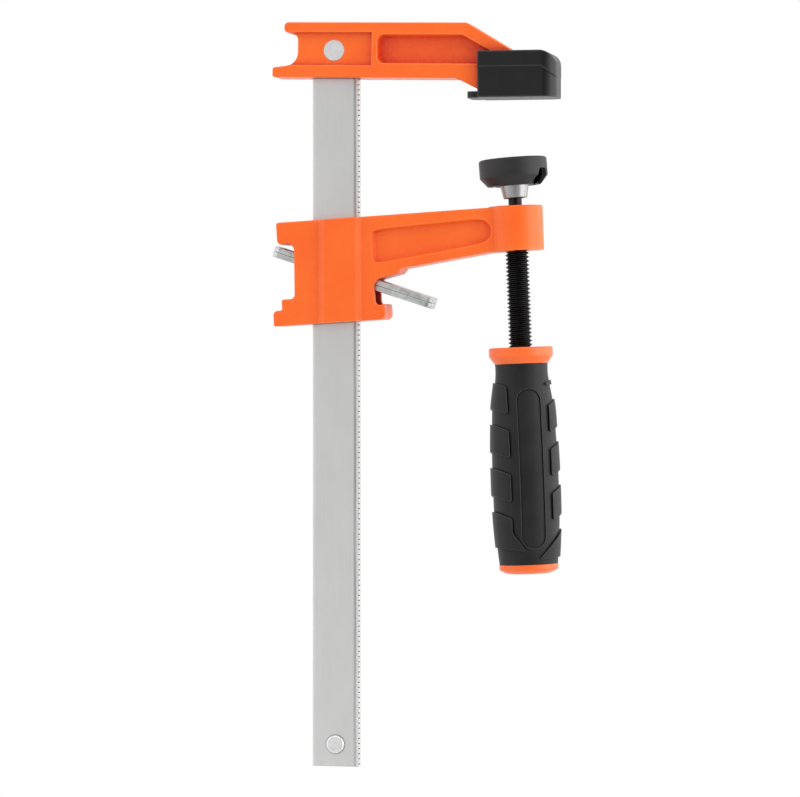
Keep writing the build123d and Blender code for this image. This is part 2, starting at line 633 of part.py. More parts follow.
# Steel cup that snaps over the ball and carries the pad
with BuildPart() as swivel_socket:
    section = face_on(
        pad_side,
        [
            (0, -SOCKET_LIP_DOWN, 0),
            (SOCKET_LIP_RADIUS, -SOCKET_LIP_DOWN, SOCKET_LIP_EASE),
            (SOCKET_RADIUS, SOCKET_SHOULDER, SOCKET_LIP_EASE),
            (SOCKET_RADIUS, SOCKET_TOP, SOCKET_LIP_EASE),
            (0, SOCKET_TOP, 0),
        ],
    )
    revolve(section, axis=upright(pad_side))
    with Locations(ball_point):
        Sphere(BALL_RADIUS + RUN, mode=Mode.SUBTRACT)
    with BuildSketch(level_plane(pad_side, 0)):
        Circle(SOCKET_MOUTH)
    extrude(amount=-SOCKET_LIP_DOWN - OVERRUN, mode=Mode.SUBTRACT)
swivel_socket.part.label = "swivel_socket"
export_step(swivel_socket.part, "parts/swivel_socket.step")

# Pad: a hollow cap with a bevelled skirt, a hub round the cup and windows in the skirt
pad_foot = PAD_TOP_UP - PAD_HEIGHT
pad_roof = pad_foot + PAD_HOLLOW
pad_bevel_top = PAD_TOP_UP - PAD_SIDE
cup_radius = SOCKET_RADIUS + SEAT
hub_foot = cup_radius + PAD_HUB_WALL
skirt_inner = hub_foot + PAD_SLOT
skirt_outer = skirt_inner + PAD_SKIRT
pad_radius = skirt_outer + PAD_BEVEL
pad_base = level_plane(pad_side, pad_foot)
with BuildPart() as swivel_pad:
    section = face_on(
        pad_side,
        [
            (0, SOCKET_TOP + SEAT, 0),
            (cup_radius, SOCKET_TOP + SEAT, 0),
            (cup_radius, pad_foot, 0),
            (hub_foot, pad_foot, 0),
            (hub_foot + PAD_HUB_SPREAD, pad_roof, 0),
            (pad_radius - PAD_SKIRT, pad_roof, PAD_SKIRT / 2),
            (pad_radius - PAD_SKIRT, pad_bevel_top, 0),
            (skirt_inner, pad_foot, 0),
            (skirt_outer, pad_foot, PAD_SKIRT / 4),
            (pad_radius, pad_bevel_top, PAD_TOP_EASE),
            (pad_radius, PAD_TOP_UP, PAD_TOP_EASE),
            (0, PAD_TOP_UP, 0),
        ],
    )
    revolve(section, axis=upright(pad_side))
    for count in range(PAD_WINDOWS):
        facing = radians(PAD_WINDOW_FACING + count * 360 / PAD_WINDOWS)
        outward = pad_base.x_dir * sin(facing) - pad_base.y_dir * cos(facing)
        section = face_on(
            Plane(
                origin=pad_base.origin + outward * skirt_inner,
                x_dir=pad_base.z_dir.cross(outward),
                z_dir=outward,
            ),
            [
                (-PAD_WINDOW_FOOT / 2, 0, 0),
                (PAD_WINDOW_FOOT / 2, 0, 0),
                (PAD_WINDOW_TOP / 2, PAD_WINDOW_HEIGHT, PAD_WINDOW_ROUND),
                (-PAD_WINDOW_TOP / 2, PAD_WINDOW_HEIGHT, PAD_WINDOW_ROUND),
            ],
        )
        extrude(section, amount=pad_radius, mode=Mode.SUBTRACT)
swivel_pad.part.label = "swivel_pad"
export_step(swivel_pad.part, "parts/swivel_pad.step")

# Handle core: collar above, tube for the tang, and a socket for the end plug
grip_start = -COLLAR_HEIGHT
grip_end = grip_start - GRIP_LENGTH
tang_bore = TANG_RADIUS + SEAT
plug_bore = PLUG_STEM_RADIUS + SEAT
with BuildPart() as handle_core:
    section = face_on(
        handle_side,
        [
            (0, -TANG_LENGTH - SEAT, 0),
            (tang_bore, -TANG_LENGTH - SEAT, 0),
            (tang_bore, -COLLAR_RIM - SEAT, 0),
            (SCREW_RADIUS + SEAT, -COLLAR_RIM - SEAT, 0),
            (SCREW_RADIUS + SEAT, 0, 0),
            (COLLAR_RADIUS, 0, COLLAR_EASE),
            (COLLAR_RADIUS, -COLLAR_RIM, COLLAR_RIM / 2),
            (COLLAR_FOOT_RADIUS, grip_start, 0),
            (CORE_RADIUS, grip_start, 0),
            (CORE_RADIUS, grip_end, 0),
            (plug_bore, grip_end, 0),
            (plug_bore, grip_end + PLUG_STEM + SEAT, 0),
            (0, grip_end + PLUG_STEM + SEAT, 0),
        ],
    )
    revolve(section, axis=upright(handle_side))
handle_core.part.label = "handle_core"
export_step(handle_core.part, "parts/handle_core.step")

# Soft grip, waisted under the collar and full below the middle. The raised blocks are
# cut from a fuller copy of its outline, and the bare panel is sunk into its front.
grip_top = grip_start - SEAT


def grip_outline(rise, inner):
    """Half section of the grip, its outside moved outward by rise, down to this radius."""
    points = [
        (GRIP_RADIUS * wide + rise, grip_top - (GRIP_LENGTH - 2 * SEAT) * along)
        for along, wide in GRIP_SHARES
    ]
    with BuildSketch(handle_side) as sketch:
        with BuildLine():
            Spline(*points)
            Polyline(
                points[-1], (inner, points[-1][1]), (inner, grip_top), points[0]
            )
        make_face()
    return sketch.sketch


facing = radians(HANDLE_FACING)
handle_front = Plane(
    origin=handle_side.origin,
    x_dir=handle_side.x_dir * cos(facing) - handle_side.z_dir * sin(facing),
    z_dir=handle_side.z_dir * cos(facing) + handle_side.x_dir * sin(facing),
)
grip_bore = CORE_RADIUS + SEAT
block_outer = 2 * GRIP_RADIUS
block_fall = tan(radians(BLOCK_SLOPE))


def block_corners(hand, down):
    """Block on one hand, its upper edge this far down where it meets the grip's side."""
    outer = (block_outer - GRIP_RADIUS) * block_fall - down
    inner = (BLOCK_INNER - GRIP_RADIUS) * block_fall - down
    return [
        (hand * block_outer, outer, 0),
        (hand * BLOCK_INNER, inner, BLOCK_CORNER),
        (hand * BLOCK_INNER, inner - BLOCK_LENGTH, BLOCK_CORNER),
        (hand * block_outer, outer - BLOCK_LENGTH, 0),
    ]


def wedge_corners(down, tip, drop, foot):
    """Wedge on the right that narrows towards the front, to a tip this much lower."""
    fall = drop / (GRIP_RADIUS - tip)
    return [
        (block_outer, (block_outer - GRIP_RADIUS) * fall - down, 0),
        (tip, -down - drop, BLOCK_CORNER / 2),
        (block_outer, -down - foot, 0),
    ]


curl_down = BLOCKS_LEFT_DOWN + BLOCKS_EACH_SIDE * BLOCK_PITCH
curl_corners = block_corners(-1, curl_down)[:2] + [
    (-BLOCK_INNER, -curl_down - CURL_BEND, BLOCK_INNER / 2),
    (-CURL_TIP, -curl_down - CURL_BEND - CURL_TIP_DOWN, BLOCK_CORNER / 2),
    (-block_outer, -curl_down - CURL_FOOT, 0),
]
last_down = BLOCKS_RIGHT_DOWN + BLOCKS_EACH_SIDE * BLOCK_PITCH
block_outlines = [
    curl_corners,
    wedge_corners(FIRST_WEDGE_DOWN, FIRST_WEDGE_TIP, FIRST_WEDGE_DROP, FIRST_WEDGE_FOOT),
    wedge_corners(last_down, LAST_WEDGE_TIP, LAST_WEDGE_DROP, LAST_WEDGE_FOOT),
]
for count in range(BLOCKS_EACH_SIDE):
    block_outlines.append(block_corners(-1, BLOCKS_LEFT_DOWN + count * BLOCK_PITCH))
    block_outlines.append(block_corners(1, BLOCKS_RIGHT_DOWN + count * BLOCK_PITCH))
with BuildPart() as blocks:
    for outline in block_outlines:
        extrude(face_on(handle_front, outline), amount=block_outer, both=True)
    revolve(
        grip_outline(BLOCK_RISE, grip_bore),
        axis=upright(handle_side),
        mode=Mode.INTERSECT,
    )
with BuildPart() as panel:
    with BuildSketch(handle_front):
        with Locations((0, -PANEL_DOWN)):
            SlotOverall(PANEL_LENGTH, PANEL_WIDTH, rotation=90)
    extrude(amount=block_outer)
    revolve(
        grip_outline(-PANEL_DEEP, 0),
        axis=upright(handle_side),
        mode=Mode.SUBTRACT,
    )
with BuildPart() as handle_grip:
    revolve(grip_outline(0, grip_bore), axis=upright(handle_side))
    add(blocks.part)
    add(panel.part, mode=Mode.SUBTRACT)
handle_grip.part.label = "handle_grip"
export_step(handle_grip.part, "parts/handle_grip.step")

with BuildPart() as handle_end_plug:
    section = face_on(
        handle_side,
        [
            (0, grip_end - PLUG_RIM - PLUG_DOME, 0),
            (PLUG_FLAT, grip_end - PLUG_RIM - PLUG_DOME, PLUG_FLAT / 2),
            (PLUG_RADIUS, grip_end - PLUG_RIM, PLUG_DOME / 2),
            (PLUG_RADIUS, grip_end - SEAT, 0),
            (PLUG_STEM_RADIUS, grip_end - SEAT, 0),
            (PLUG_STEM_RADIUS, grip_end + PLUG_STEM, 0),
            (0, grip_end + PLUG_STEM, 0),
        ],
    )
    revolve(section, axis=upright(handle_side))
handle_end_plug.part.label = "handle_end_plug"
export_step(handle_end_plug.part, "parts/handle_end_plug.step")
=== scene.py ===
# %% [markdown]
# # Dressing a bar clamp
# The solids of this clamp come from CAD: two orange castings on a flat steel bar, a screw with a
# swivel pad, and a two-part handle. They are loaded here as a fixed frame, in metres. This lesson
# gives every piece its surface, adds what the solids leave plain (the screw's thread, the bar's
# rolled corners and its notched edge) and sets up the light and the camera.

# %% Load the frame
import json
import math

import bmesh
import bpy
from mathutils import Matrix, Vector


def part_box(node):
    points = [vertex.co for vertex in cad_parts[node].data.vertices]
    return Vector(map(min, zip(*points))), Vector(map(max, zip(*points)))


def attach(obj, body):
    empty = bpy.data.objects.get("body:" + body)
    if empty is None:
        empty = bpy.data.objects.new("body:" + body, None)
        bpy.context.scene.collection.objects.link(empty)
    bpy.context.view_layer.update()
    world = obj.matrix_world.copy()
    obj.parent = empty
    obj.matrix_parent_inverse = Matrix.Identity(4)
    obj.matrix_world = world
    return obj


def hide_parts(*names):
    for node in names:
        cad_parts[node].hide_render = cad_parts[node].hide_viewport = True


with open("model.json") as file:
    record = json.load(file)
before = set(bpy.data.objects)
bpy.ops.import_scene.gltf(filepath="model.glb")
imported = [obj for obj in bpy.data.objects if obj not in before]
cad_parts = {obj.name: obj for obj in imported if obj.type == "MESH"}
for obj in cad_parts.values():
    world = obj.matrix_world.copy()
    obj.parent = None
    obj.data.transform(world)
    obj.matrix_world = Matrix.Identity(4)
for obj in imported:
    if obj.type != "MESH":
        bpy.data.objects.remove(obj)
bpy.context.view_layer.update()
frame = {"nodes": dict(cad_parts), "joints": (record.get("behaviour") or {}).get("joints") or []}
MM = 0.001
joints = {joint["name"]: joint for joint in frame["joints"]}
print("nodes:", sorted(frame["nodes"]))

# %% [markdown]
# ## Small helpers for materials
# Each finish below is a Principled shader with a few textures around it. All textures read Object
# coordinates, so they stick to the piece when it moves. The helpers are short on purpose: one makes
# the shader, one makes a noise at a size given in millimetres, and the others map it to a range,
# combine it with another pattern, blend two colours with it or turn it into relief.

# %% A shader and its plain values
def shader_of(material):
    return material.node_tree.nodes["Principled BSDF"]


def finish(name, color, roughness, metallic=0.0, gloss=0.5):
    """A new material whose constants sit on the shader's own sockets. Gloss is the strength of
    the surface's own reflection, where 0.5 is a common varnish."""
    material = bpy.data.materials.new(name)
    material.use_nodes = True
    sockets = shader_of(material).inputs
    sockets["Base Color"].default_value = (*color, 1.0)
    sockets["Roughness"].default_value = roughness
    sockets["Metallic"].default_value = metallic
    sockets["Specular IOR Level"].default_value = gloss
    print("made", name)
    return material


def join(owner, source, target):
    """Links two sockets. The owner is a material, or the world."""
    owner.node_tree.links.new(source, target)


def feed(material, socket_name, source):
    """Lets a pattern drive one of the shader's own sockets."""
    join(material, source, shader_of(material).inputs[socket_name])


# %% Noise at a real size
def noise(material, size_mm, stretch=(1.0, 1.0, 1.0), detail=3.0, seed=0.0):
    """Noise on Object coordinates. Its blobs are about size_mm across, longer along an axis
    whose stretch is above 1."""
    nodes = material.node_tree.nodes
    place = nodes.new("ShaderNodeTexCoord")
    mapping = nodes.new("ShaderNodeMapping")
    mapping.inputs["Location"].default_value = (seed, seed, seed)
    mapping.inputs["Scale"].default_value = [1.0 / (size_mm * MM * s) for s in stretch]
    texture = nodes.new("ShaderNodeTexNoise")
    texture.inputs["Scale"].default_value = 1.0
    texture.inputs["Detail"].default_value = detail
    join(material, place.outputs["Object"], mapping.inputs["Vector"])
    join(material, mapping.outputs["Vector"], texture.inputs["Vector"])
    return texture.outputs["Fac"]


# %% From a pattern to a value, a colour and a relief
def graded(owner, source, low, high, start=0.3, end=0.7):
    """Maps a pattern between start and end to values between low and high."""
    node = owner.node_tree.nodes.new("ShaderNodeMapRange")
    node.inputs["From Min"].default_value = start
    node.inputs["From Max"].default_value = end
    node.inputs["To Min"].default_value = low
    node.inputs["To Max"].default_value = high
    join(owner, source, node.inputs["Value"])
    return node.outputs["Result"]


def combined(material, operation, first, second):
    node = material.node_tree.nodes.new("ShaderNodeMath")
    node.operation = operation
    join(material, first, node.inputs[0])
    join(material, second, node.inputs[1])
    return node.outputs["Value"]


def blended(material, factor, first, second):
    """A colour that goes from first to second with the factor. Either may be a socket. A Mix node
    holds one set of sockets for each kind of value, so the colour ones are picked by kind."""
    node = material.node_tree.nodes.new("ShaderNodeMix")
    node.data_type = "RGBA"
    join(material, factor, node.inputs["Factor"])
    colors = [socket for socket in node.inputs if socket.type == "RGBA"]
    for value, socket in zip((first, second), colors):
        if isinstance(value, tuple):
            socket.default_value = (*value, 1.0)
        else:
            join(material, value, socket)
    return next(socket for socket in node.outputs if socket.type == "RGBA")


def relief(material, height, depth_mm, below=None):
    """Bump of a real depth, laid over the normal of what is below it."""
    node = material.node_tree.nodes.new("ShaderNodeBump")
    node.inputs["Distance"].default_value = depth_mm * MM
    join(material, height, node.inputs["Height"])
    if below is not None:
        join(material, below, node.inputs["Normal"])
    return node.outputs["Normal"]


# %% [markdown]
# ## Hollows, rounded edges and edge highlights
# The masks made here put painted shade into recesses and painted highlights on outer edges. The
# Ambient Occlusion node says how open a point is, from the geometry alone, so a mask made from it
# stays with the piece under any light. No real edge is a knife edge: the Bevel node rounds an edge
# in the shading alone, so the mesh stays light. Where its normal leaves the true normal, the
# surface is an edge, and where the point is open as well, it is an outer edge, where a painted
# highlight goes.

# %% How open a point is
SHADING_SAMPLES = 8


def openness(material, reach_mm):
    node = material.node_tree.nodes.new("ShaderNodeAmbientOcclusion")
    node.samples = SHADING_SAMPLES
    node.inputs["Distance"].default_value = reach_mm * MM
    return node.outputs["AO"]


def hollows(material, reach_mm, walled=0.30, clear=0.95):
    """Near 1 where walls stand close round a point, and 0 on open faces."""
    return graded(material, openness(material, reach_mm), 1.0, 0.0, walled, clear)


# %% Edge rounding and an edge mask
EDGE_DOTS = (0.8, 0.99)
OUTER_REACH = 3.0
OUTER_SHARES = (0.75, 0.95)


def rounded(material, radius_mm):
    node = material.node_tree.nodes.new("ShaderNodeBevel")
    node.samples = SHADING_SAMPLES
    node.inputs["Radius"].default_value = radius_mm * MM
    return node.outputs["Normal"]


def edge_mask(material, radius_mm, strength=1.0):
    """Near the strength on outer edges, and 0 on flat faces and in inner corners."""
    nodes = material.node_tree.nodes
    surface = nodes.new("ShaderNodeNewGeometry")
    dot = nodes.new("ShaderNodeVectorMath")
    dot.operation = "DOT_PRODUCT"
    join(material, rounded(material, radius_mm), dot.inputs[0])
    join(material, surface.outputs["Normal"], dot.inputs[1])
    edge = graded(material, dot.outputs["Value"], strength, 0.0, *EDGE_DOTS)
    outer = graded(material, openness(material, OUTER_REACH), 0.0, 1.0, *OUTER_SHARES)
    return combined(material, "MULTIPLY", edge, outer)


# %% [markdown]
# ## Orange enamel on the castings
# The jaws are rough castings under a thick sprayed enamel. The sand texture of the casting still
# shows through as soft lumps about a millimetre across, and the enamel adds a much finer orange
# peel. Painted shade makes the pockets deeper and redder, and almost black far inside the clutch
# slot. A painted highlight makes the outer edges lighter.

# %% Enamel: its colours
OPEN_ENAMEL = ((0.94, 0.124, 0.006), (0.96, 0.150, 0.010))
# Painted shade for the pockets, a darker and redder enamel.
POCKET_SHADE_ENAMEL = ((0.60, 0.018, 0.004), (0.78, 0.050, 0.012))
# A paler enamel for a painted highlight on the outer edges.
EDGE_HIGHLIGHT_ENAMEL = (1.0, 0.30, 0.09)
# An almost black enamel for painted shade far inside the clutch slot.
SLOT_SHADE_ENAMEL = (0.12, 0.004, 0.003)
PATCH_SIZE = 14.0
MOTTLE_SIZE = 1.7
POCKET_REACH = 9.0
EDGE_HIGHLIGHT_RADIUS = 1.2

enamel = finish("orange_enamel", (0.95, 0.138, 0.008), 0.34, gloss=0.4)
patches = graded(enamel, noise(enamel, PATCH_SIZE), 0.0, 1.0)
enamel_color = blended(enamel, patches, *OPEN_ENAMEL)
mottle = graded(enamel, noise(enamel, MOTTLE_SIZE, detail=4.0, seed=2.0), 0.0, 1.0)
# Painted shade: pockets where walls stand close get the darker, redder enamel.
pocket_shade_color = blended(enamel, mottle, *POCKET_SHADE_ENAMEL)
painted_pocket_shade = hollows(enamel, POCKET_REACH, walled=0.40, clear=0.98)
enamel_color = blended(enamel, painted_pocket_shade, enamel_color, pocket_shade_color)
# Painted highlight: outer edges are mixed towards a paler orange.
painted_edge_highlight = edge_mask(enamel, EDGE_HIGHLIGHT_RADIUS, strength=0.8)
enamel_color = blended(enamel, painted_edge_highlight, enamel_color, EDGE_HIGHLIGHT_ENAMEL)
# Painted shade: almost closed spaces, like the clutch slot, go nearly black.
painted_slot_shade = hollows(enamel, POCKET_REACH, walled=0.05, clear=0.35)
enamel_color = blended(enamel, painted_slot_shade, enamel_color, SLOT_SHADE_ENAMEL)
feed(enamel, "Base Color", enamel_color)

# %% Enamel: its surface
LUMP_SIZE = 1.6
LUMP_HEIGHT = 0.12
PEEL_SIZE = 0.35
PEEL_HEIGHT = 0.010
CASTING_EDGE = 0.5

feed(enamel, "Roughness", graded(enamel, noise(enamel, 3.0), 0.28, 0.40))
lumps = relief(enamel, noise(enamel, LUMP_SIZE), LUMP_HEIGHT, rounded(enamel, CASTING_EDGE))
peel = relief(enamel, noise(enamel, PEEL_SIZE, detail=1.0), PEEL_HEIGHT, lumps)
feed(enamel, "Normal", peel)
print("enamel nodes:", len(enamel.node_tree.nodes))

# %% [markdown]
# ## Plated bar steel
# The bar is cold-drawn flat steel with a dull grey plating. Drawing leaves long faint streaks along
# the bar, and the plating is slightly cloudy. The streaks run along Z, so their noise is stretched
# a lot along that axis and the clouds' noise a little. Painted shade darkens the notches.

# %% Bar steel
CLOUD_GREYS = ((0.67, 0.67, 0.665), (0.71, 0.71, 0.705))
STREAK_GREY = (0.77, 0.77, 0.765)
# Near black, for painted shade in the notches.
NOTCH_SHADE = (0.06, 0.06, 0.06)
NOTCH_REACH = 0.8

bar_steel = finish("plated_bar_steel", (0.69, 0.69, 0.685), 0.33, metallic=0.85)
streaks = noise(bar_steel, 0.5, stretch=(1.0, 1.0, 60.0), detail=4.0)
clouds = noise(bar_steel, 9.0, stretch=(1.0, 1.0, 2.0), seed=3.0)
bar_color = blended(bar_steel, graded(bar_steel, clouds, 0.0, 1.0), *CLOUD_GREYS)
drawn_lines = graded(bar_steel, streaks, 0.0, 0.3)
bar_color = blended(bar_steel, drawn_lines, bar_color, STREAK_GREY)
# Painted shade: the notches go almost black where their walls close in.
painted_notch_shade = hollows(bar_steel, NOTCH_REACH, walled=0.45, clear=0.90)
bar_color = blended(bar_steel, painted_notch_shade, bar_color, NOTCH_SHADE)
feed(bar_steel, "Base Color", bar_color)
feed(bar_steel, "Roughness", graded(bar_steel, streaks, 0.28, 0.38))
feed(bar_steel, "Normal", relief(bar_steel, streaks, 0.003, rounded(bar_steel, 0.1)))

# %% [markdown]
# ## The smaller steels
# The rivet and the stop pin are plain headed steel, a little mottled from the hammer. The clutch
# discs are stampings with a pale plating. The swivel cup is bright and almost smooth, and the screw
# is blackened, with oil on it, so it is dark and fairly glossy.

# %% Four steels from one recipe
def mottled_steel(name, dark, pale, roughness, mottle_mm, depth_mm, edge_mm=0.2):
    """Two colours and two roughnesses, mixed in blots, over dents a quarter of their size."""
    steel = finish(name, dark, roughness[0], metallic=0.85)
    mottle = noise(steel, mottle_mm)
    feed(steel, "Base Color", blended(steel, graded(steel, mottle, 0.0, 1.0), dark, pale))
    feed(steel, "Roughness", graded(steel, mottle, *roughness))
    dents = noise(steel, mottle_mm / 4, seed=5.0)
    feed(steel, "Normal", relief(steel, dents, depth_mm, rounded(steel, edge_mm)))
    return steel


pin_steel = mottled_steel(
    "headed_steel", dark=(0.74, 0.74, 0.74), pale=(0.84, 0.83, 0.83),
    roughness=(0.34, 0.44), mottle_mm=2.0, depth_mm=0.012,
)
disc_steel = mottled_steel(
    "stamped_steel", dark=(0.46, 0.48, 0.47), pale=(0.68, 0.70, 0.69),
    roughness=(0.30, 0.42), mottle_mm=3.0, depth_mm=0.02,
)
cup_steel = mottled_steel(
    "bright_steel", dark=(0.30, 0.30, 0.30), pale=(0.36, 0.36, 0.36),
    roughness=(0.24, 0.32), mottle_mm=5.0, depth_mm=0.001,
)
black_steel = mottled_steel(
    "blackened_steel", dark=(0.010, 0.010, 0.011), pale=(0.022, 0.022, 0.023),
    roughness=(0.28, 0.40), mottle_mm=3.0, depth_mm=0.006, edge_mm=0.1,
)

# %% [markdown]
# ## Soft cap, swivel pad and grip
# These are dark plastics with a fine moulded grain, with a paler grey painted highlight on their
# outer edges and almost black painted shade in the corners round the grip's raised blocks. The soft
# cap is the smoothest. The grip is rubbery and scatters light, so it gets a trace of sheen.

# %% Dark plastics
# Grey for a painted highlight on outer edges.
EDGE_HIGHLIGHT_GREY = (0.06, 0.06, 0.06)
# The share of the base colour left in painted shade in the corners.
CORNER_SHADE_SHARE = 0.2
ROUGHNESS_SWING = 0.06


def moulded(name, dark, pale, roughness, grain_mm, depth_mm, edge_mm, gloss):
    plastic = finish(name, dark, roughness, gloss=gloss)
    shade = graded(plastic, noise(plastic, 8.0), 0.0, 1.0)
    color = blended(plastic, shade, dark, pale)
    # Painted highlight: outer edges are mixed towards a paler grey.
    color = blended(plastic, edge_mask(plastic, 2 * edge_mm), color, EDGE_HIGHLIGHT_GREY)
    # Painted shade: corners where walls stand close go almost black.
    corner = hollows(plastic, 1.5, walled=0.45, clear=0.90)
    color = blended(plastic, corner, color, tuple(CORNER_SHADE_SHARE * part for part in dark))
    feed(plastic, "Base Color", color)
    grain = noise(plastic, grain_mm, detail=2.0)
    smoother, rougher = roughness - ROUGHNESS_SWING, roughness + ROUGHNESS_SWING
    feed(plastic, "Roughness", graded(plastic, grain, smoother, rougher))
    feed(plastic, "Normal", relief(plastic, grain, depth_mm, rounded(plastic, edge_mm)))
    return plastic


cap_plastic = moulded(
    "cap_plastic", dark=(0.0036, 0.0036, 0.0040), pale=(0.0058, 0.0058, 0.0062),
    roughness=0.38, grain_mm=0.3, depth_mm=0.010, edge_mm=0.8, gloss=0.36,
)
pad_plastic = moulded(
    "pad_plastic", dark=(0.018, 0.018, 0.019), pale=(0.024, 0.024, 0.025),
    roughness=0.46, grain_mm=0.3, depth_mm=0.010, edge_mm=0.4, gloss=0.3,
)
grip_rubber = moulded(
    "grip_rubber", dark=(0.010, 0.010, 0.011), pale=(0.015, 0.015, 0.016),
    roughness=0.48, grain_mm=0.25, depth_mm=0.016, edge_mm=0.35, gloss=0.22,
)
shader_of(grip_rubber).inputs["Sheen Weight"].default_value = 0.04

# %% [markdown]
# ## Orange handle plastic
# The collar and the end plug are injection moulded, smoother and glossier than the enamel, with a
# very slight waviness.

# %% Handle plastic
orange_plastic = finish("orange_plastic", (0.94, 0.15, 0.024), 0.32, gloss=0.4)
shade = graded(orange_plastic, noise(orange_plastic, 10.0), 0.0, 1.0)
plastic_color = blended(orange_plastic, shade, (0.93, 0.136, 0.020), (0.95, 0.158, 0.026))
feed(orange_plastic, "Base Color", plastic_color)
feed(orange_plastic, "Roughness", graded(orange_plastic, noise(orange_plastic, 2.0), 0.26, 0.36))
waves = noise(orange_plastic, 1.2)
feed(orange_plastic, "Normal", relief(orange_plastic, waves, 0.01, rounded(orange_plastic, 0.4)))

# %% [markdown]
# ## Smooth copies of the CAD pieces
# A CAD mesh arrives as loose triangles. Merging a copy's double points lets Blender shade across
# them, and a limited dissolve turns the triangles of one flat back into one face. Faces that meet
# at less than 30 degrees then look smooth and the rest stay crisp. Two large flats need a stricter
# rule: a drafted wall leans only 12 degrees from its neighbour, and the line between them is a
# real edge. A Weighted Normal modifier keeps the flats flat where they run into a fillet.

# %% Sharp and smooth edges
CREASE = math.radians(30)
FLAT_CREASE = math.radians(6)
FLAT_AREA = 12 * MM * MM


def mark_edges(data, crease):
    """Sharp where faces meet steeply, or where two large flats meet at all."""
    mesh = bmesh.new()
    mesh.from_mesh(data)
    for face in mesh.faces:
        face.smooth = True
    for edge in mesh.edges:
        if len(edge.link_faces) == 2:
            turn = edge.calc_face_angle()
            both_flats = all(face.calc_area() > FLAT_AREA for face in edge.link_faces)
            edge.smooth = turn < (FLAT_CREASE if both_flats else crease)
    mesh.to_mesh(data)
    mesh.free()


def dress(piece, body, slot, material, *nodes, crease=CREASE):
    """Smooth shading, the finish, and what the piece stands for."""
    mark_edges(piece.data, crease)
    weighted = piece.modifiers.new("flat faces stay flat", "WEIGHTED_NORMAL")
    weighted.keep_sharp = True
    piece.data.materials.clear()
    piece.data.materials.append(material)
    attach(piece, body)
    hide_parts(*nodes)
    print(piece.name, len(piece.data.polygons), "faces")


# %% A merged copy of a CAD piece
MERGE_GAP = 0.002 * MM
SAME_FLAT = math.radians(0.3)


def add_object(name, data):
    piece = bpy.data.objects.new(name, data)
    bpy.context.scene.collection.objects.link(piece)
    return piece


def smooth_copy(node, body, slot, material):
    piece = add_object(node + "_skin", frame["nodes"][node].data.copy())
    mesh = bmesh.new()
    mesh.from_mesh(piece.data)
    bmesh.ops.remove_doubles(mesh, verts=mesh.verts, dist=MERGE_GAP)
    bmesh.ops.dissolve_limit(mesh, angle_limit=SAME_FLAT, verts=mesh.verts, edges=mesh.edges)
    mesh.to_mesh(piece.data)
    mesh.free()
    dress(piece, body, slot, material, node)


# %% Castings, pads, discs and handle
for node, body, slot, material in (
    ("fixed_jaw", "frame", "casting", enamel),
    ("sliding_jaw", "slider", "casting", enamel),
    ("fixed_jaw_rivet", "frame", "pin_steel", pin_steel),
    ("bar_stop_pin", "frame", "pin_steel", pin_steel),
    ("fixed_jaw_pad", "frame", "pad", cap_plastic),
    ("swivel_pad", "pad", "pad", pad_plastic),
    ("swivel_socket", "pad", "socket_steel", cup_steel),
    ("swivel_ball", "screw_carrier", "screw_steel", black_steel),
    ("clutch_disc_upper", "clutch", "disc_steel", disc_steel),
    ("clutch_disc_lower", "clutch", "disc_steel", disc_steel),
    ("handle_core", "screw", "handle_plastic", orange_plastic),
    ("handle_end_plug", "screw", "handle_plastic", orange_plastic),
    ("handle_grip", "screw", "grip", grip_rubber),
):
    smooth_copy(node, body, slot, material)

# %% [markdown]
# ## The serrated bar
# The front edge of the bar is notched, and the clutch discs bite into the notches. The long corners
# are rolled, the front ones wider than the back ones. Each has a strip that leans a little and a
# narrow one that leans more, which show as a dark and a bright line. A flat profile with those
# corners is extruded once along the bar, its long edges are subdivided evenly, and every eighth
# point of the notched edge moves in.

# %% The bar's profile, extruded
bar_low, bar_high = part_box("bar")
BAR_CENTRE = (bar_low.x + bar_high.x) / 2
BAR_HALF = (bar_high.x - bar_low.x) / 2
FACE_HALF = bar_high.y
BAR_LENGTH = bar_high.z - bar_low.z
FRONT_CORNER = ((0.0, 0.62 * MM), (0.95 * MM, 0.15 * MM), (2.1 * MM, 0.0))
BACK_CORNER = ((0.0, 0.35 * MM), (0.35 * MM, 0.06 * MM), (1.6 * MM, 0.0))

bar_mesh = bmesh.new()
outline = []
for side, front in ((1, -1), (1, 1), (-1, 1), (-1, -1)):
    corner = [
        (BAR_CENTRE + side * (BAR_HALF - back), front * (FACE_HALF - down), bar_low.z)
        for back, down in (FRONT_CORNER if side > 0 else BACK_CORNER)
    ]
    outline += corner[::-1] if side * front < 0 else corner
foot = bar_mesh.faces.new([bar_mesh.verts.new(point) for point in outline])
grown = bmesh.ops.extrude_face_region(bar_mesh, geom=[foot])
top_points = [item for item in grown["geom"] if isinstance(item, bmesh.types.BMVert)]
bmesh.ops.translate(bar_mesh, verts=top_points, vec=(0, 0, BAR_LENGTH))
print("bar is", round(BAR_LENGTH / MM, 1), "mm long")

# %% Notches on the front edge
NOTCH_PITCH = 2.05 * MM
NOTCH_DEPTH = 0.45 * MM
STEPS_PER_NOTCH = 8
NOTCHES = round(BAR_LENGTH / NOTCH_PITCH)
BAR_STEPS = STEPS_PER_NOTCH * NOTCHES
EDGE_BAND = 0.1 * MM

